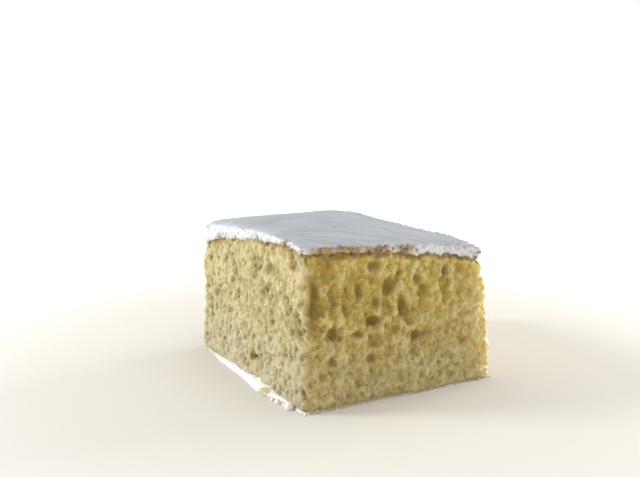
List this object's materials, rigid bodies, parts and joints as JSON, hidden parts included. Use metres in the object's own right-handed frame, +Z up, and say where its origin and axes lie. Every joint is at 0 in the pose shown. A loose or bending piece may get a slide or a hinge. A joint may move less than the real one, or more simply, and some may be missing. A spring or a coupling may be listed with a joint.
{
  "type": "tres leches cake slice",
  "caption": "Square-cut slice of milk-soaked sponge cake with open crumb on its cut sides, poured white icing on top and a little milk pooled round its foot.",
  "frame": {"origin": "middle of the flat foot that the slice stands on", "axes": "+Z up, -Y out of the front cut face, -X out of the left cut face, +Y along the longer side"},
  "size_m": [0.0899, 0.0989, 0.0618],
  "materials": {
    "sponge_crumb": "pale yellow crumb, moist and open, browned in a thin line under the icing",
    "white_icing": "smooth, satin to glossy, poured",
    "sweet_milk": "wet, glossy, cream white"
  },
  "bodies": {
    "root": {"sponge": "sponge_crumb", "icing": "white_icing", "milk": "sweet_milk"}
  },
  "joints": []
}
